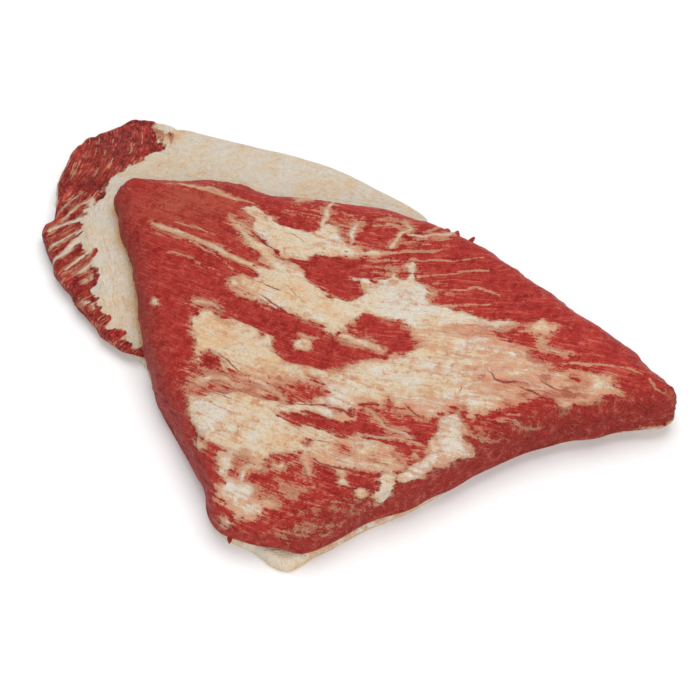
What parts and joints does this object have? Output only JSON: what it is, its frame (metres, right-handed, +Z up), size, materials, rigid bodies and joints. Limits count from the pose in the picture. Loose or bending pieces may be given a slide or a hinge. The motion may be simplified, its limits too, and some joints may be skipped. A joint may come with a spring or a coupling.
{
  "type": "beef brisket",
  "caption": "Raw boneless beef brisket lying on its fat cap, lean side up, with the point end showing at one side and loose sheets of fat left on the lean.",
  "frame": {"origin": "on the table, under the middle of the brisket's bounding box", "axes": "+X from the point end towards the flat's far corner, along the longest extent; +Y from the near cut end towards the long edge where the seam fat shows; +Z up, out of the lean face"},
  "size_m": [0.4685, 0.4256, 0.0563],
  "materials": {
    "cap_fat": "soft, slightly moist beef fat, cream",
    "point_lean": "raw lean beef, dark red, moist",
    "seam_fat": "smooth beef fat, cream, slightly moist",
    "flat_lean": "raw lean beef, red, moist, with cream fat sheets and marbling"
  },
  "bodies": {
    "root": {"fat_cap": "cap_fat", "point_muscle": "point_lean", "seam_fat": "seam_fat", "flat_muscle": "flat_lean"}
  },
  "joints": []
}
